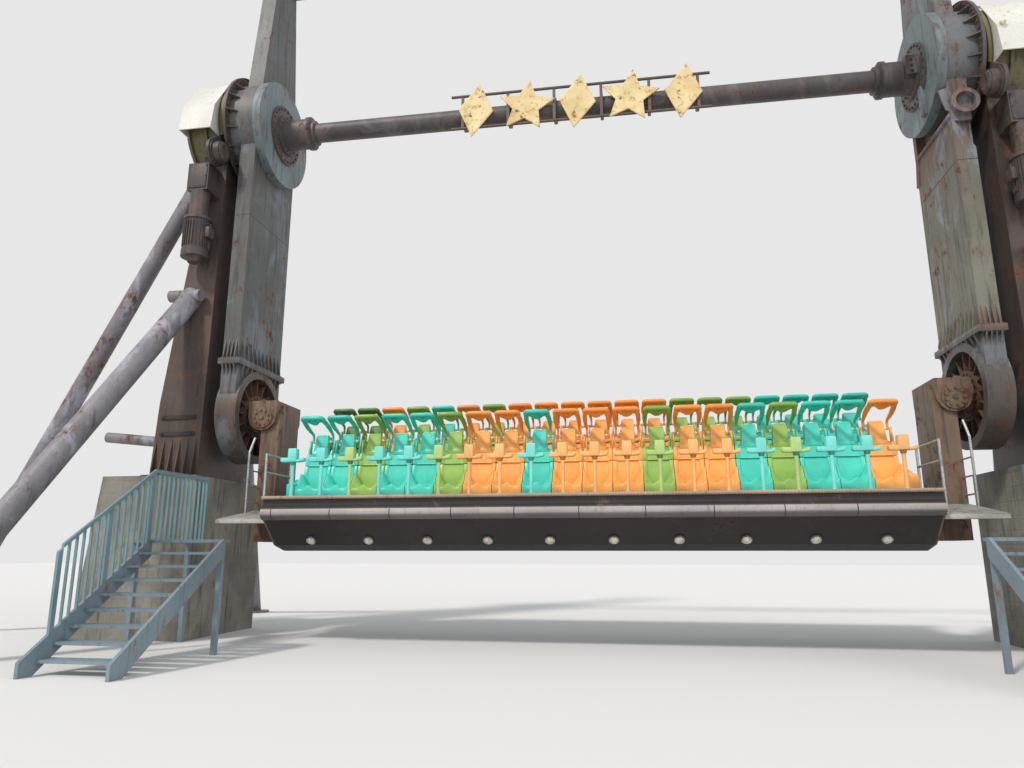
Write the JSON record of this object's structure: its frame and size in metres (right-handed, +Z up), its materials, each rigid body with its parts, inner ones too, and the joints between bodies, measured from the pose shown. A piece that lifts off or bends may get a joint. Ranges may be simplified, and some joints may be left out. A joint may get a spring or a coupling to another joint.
{
  "type": "twin-arm flipping gondola ride",
  "caption": "Fairground ride: two braced towers turn two long counterweighted arms, which carry a free-turning gondola with two rows of moulded seats and shoulder restraints.",
  "frame": {"origin": "on the ground, midway between the towers and straight below the hub axis", "axes": "+X along the gondola, +Y from the front to the back, +Z up"},
  "size_m": [26.56, 11.14, 16.25],
  "materials": {
    "tower_steel": "dark weathered paint with rust and soot stains",
    "head_paint": "olive paint, stained dark",
    "cover_paint": "pale cream sheet, sun bleached",
    "motor_metal": "oily grey-brown castings",
    "strut_paint": "pale blue-grey paint with dark patches",
    "concrete": "rough cast concrete with moss",
    "stair_paint": "blue-grey paint, chequered treads",
    "rail_paint": "pale blue-green paint",
    "arm_paint": "grey-beige paint with rust runs",
    "arm_end_paint": "dull grey-brown paint",
    "rust_steel": "rusted bare steel",
    "hub_paint": "pale blue-green paint",
    "ring_steel": "dark brown greased steel",
    "weight_paint": "grey-brown paint",
    "shaft_paint": "grey-brown paint with rust",
    "frame_steel": "thin brown steel",
    "sign_cream": "yellowed cream paint with rust blotches",
    "deck_steel": "tan deck plates with a ribbed edge",
    "fascia_paint": "mauve-grey moulding",
    "belly_paint": "near-black brown underside",
    "lamp_glass": "yellowed lamp domes",
    "side_frame_paint": "cream paint gone to rust",
    "galvanised": "galvanised tube",
    "front_seat_plastic": "moulded seats in orange, green and teal",
    "back_seat_plastic": "moulded seats in orange, green and teal",
    "grab_post_plastic": "pale moulded grips in each seat's colour",
    "restraint_plastic": "moulded padding in each seat's colour"
  },
  "bodies": {
    "towers": {"left_tower_column": "tower_steel", "left_tower_head": "head_paint", "left_head_cover": "cover_paint", "left_drive_motor": "motor_metal", "left_struts": "strut_paint", "left_plinth": "concrete", "left_stairs": "stair_paint", "left_stair_rail": "rail_paint", "right_tower_column": "tower_steel", "right_tower_head": "head_paint", "right_head_cover": "cover_paint", "right_drive_motor": "motor_metal", "right_struts": "strut_paint", "right_plinth": "concrete", "right_stairs": "stair_paint", "right_stair_rail": "rail_paint"},
    "arms": {"left_upper_arm": "arm_paint", "left_lower_arm": "arm_paint", "left_arm_end": "arm_end_paint", "left_pivot_bearing": "rust_steel", "left_hub": "hub_paint", "left_slewing_ring": "ring_steel", "left_counterweight": "weight_paint", "right_upper_arm": "arm_paint", "right_lower_arm": "arm_paint", "right_arm_end": "arm_end_paint", "right_pivot_bearing": "rust_steel", "right_hub": "hub_paint", "right_slewing_ring": "ring_steel", "right_counterweight": "weight_paint", "cross_shaft": "shaft_paint", "sign_frame": "frame_steel", "sign_plates": "sign_cream"},
    "gondola": {"left_side_frame": "side_frame_paint", "left_end_rails": "galvanised", "right_side_frame": "side_frame_paint", "right_end_rails": "galvanised", "gondola_deck": "deck_steel", "gondola_fascia": "fascia_paint", "gondola_belly": "belly_paint", "belly_lamps": "lamp_glass", "front_seat_backs": "front_seat_plastic", "front_seat_bases": "front_seat_plastic", "back_seat_backs": "back_seat_plastic", "back_seat_bases": "back_seat_plastic", "front_grab_posts": "grab_post_plastic", "back_grab_posts": "grab_post_plastic"},
    "front_restraint_row": {"front_restraints": "restraint_plastic"},
    "back_restraint_row": {"back_restraints": "restraint_plastic"}
  },
  "joints": [
    {"name": "arm_rotation", "type": "hinge", "parent": "towers", "child": "arms", "pos_m": [0, 0, 10.75], "axis": [1, 0, 0], "continuous": true},
    {"name": "gondola_swing", "type": "hinge", "parent": "arms", "child": "gondola", "pos_m": [0, 0, 4.3], "axis": [1, 0, 0], "continuous": true},
    {"name": "front_restraint_lowering", "type": "hinge", "parent": "gondola", "child": "front_restraint_row", "pos_m": [0, -0.64, 3.66], "axis": [1, 0, 0], "range_deg": [0, 70]},
    {"name": "back_restraint_lowering", "type": "hinge", "parent": "gondola", "child": "back_restraint_row", "pos_m": [0, 0.88, 4.08], "axis": [1, 0, 0], "range_deg": [0, 70]}
  ]
}
